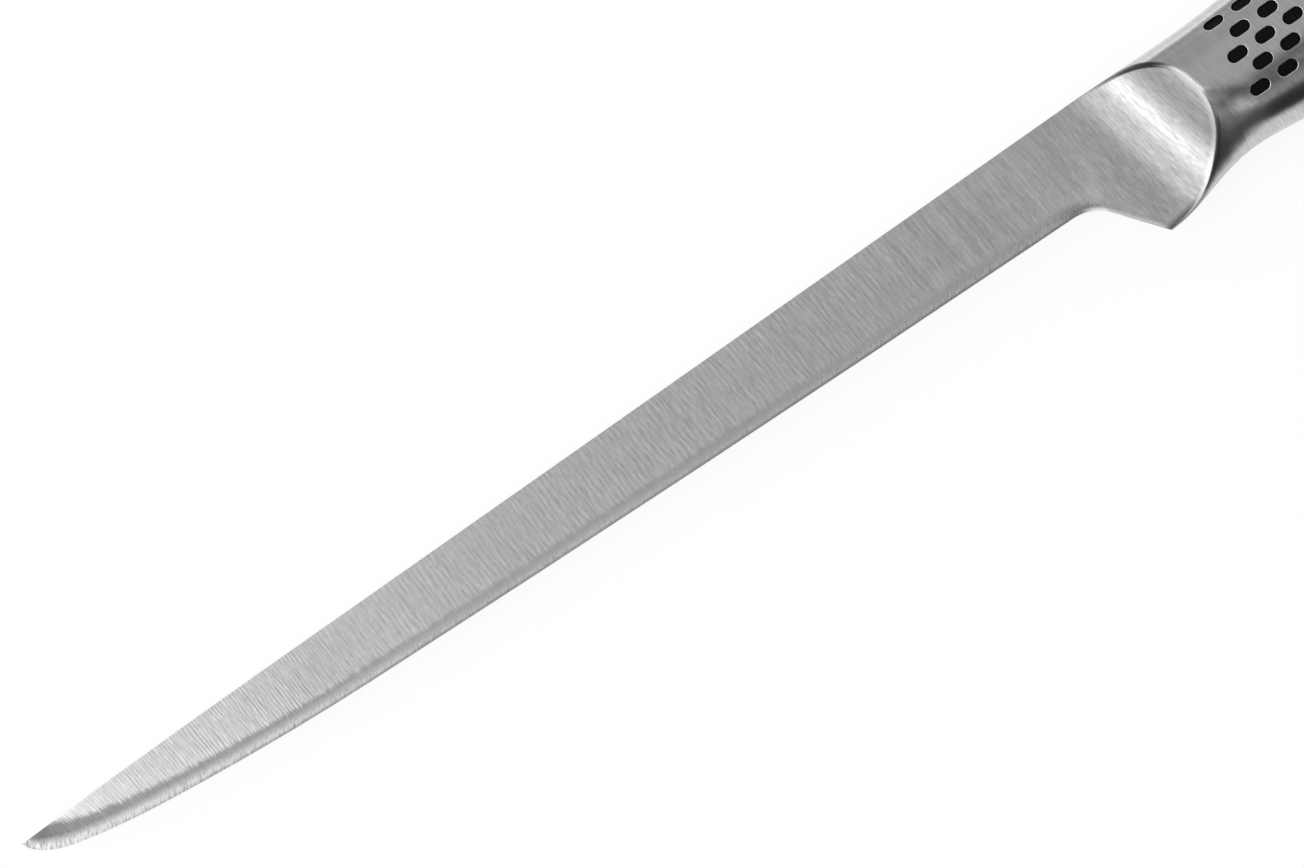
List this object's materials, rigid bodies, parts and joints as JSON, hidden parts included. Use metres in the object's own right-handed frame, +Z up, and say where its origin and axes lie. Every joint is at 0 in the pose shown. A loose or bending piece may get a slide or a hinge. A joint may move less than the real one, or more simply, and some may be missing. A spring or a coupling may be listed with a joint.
{
  "type": "fillet knife",
  "caption": "Long narrow flexible fillet knife with a hollow welded steel handle, black recessed grip marks, a scooped bolster and a pointed heel.",
  "frame": {"origin": "on the ground under the middle of the knife's length and depth, the knife lying on its right side", "axes": "+X from the tip to the butt, +Y from the edge to the spine, +Z up, out of the left side"},
  "size_m": [0.34, 0.0274, 0.017],
  "materials": {
    "blade_steel": "satin",
    "handle_steel": "satin",
    "weld_steel": "satin",
    "ballast": "matte",
    "grip_black": "matte"
  },
  "bodies": {
    "root": {"blade": "blade_steel", "handle_shell_left": "handle_steel", "handle_shell_right": "handle_steel", "neck_weld": "weld_steel", "spine_seam_weld": "weld_steel", "belly_seam_weld": "weld_steel", "fill_plug": "weld_steel", "sand_fill": "ballast", "grip_coating_left": "grip_black", "grip_coating_right": "grip_black"}
  },
  "joints": []
}
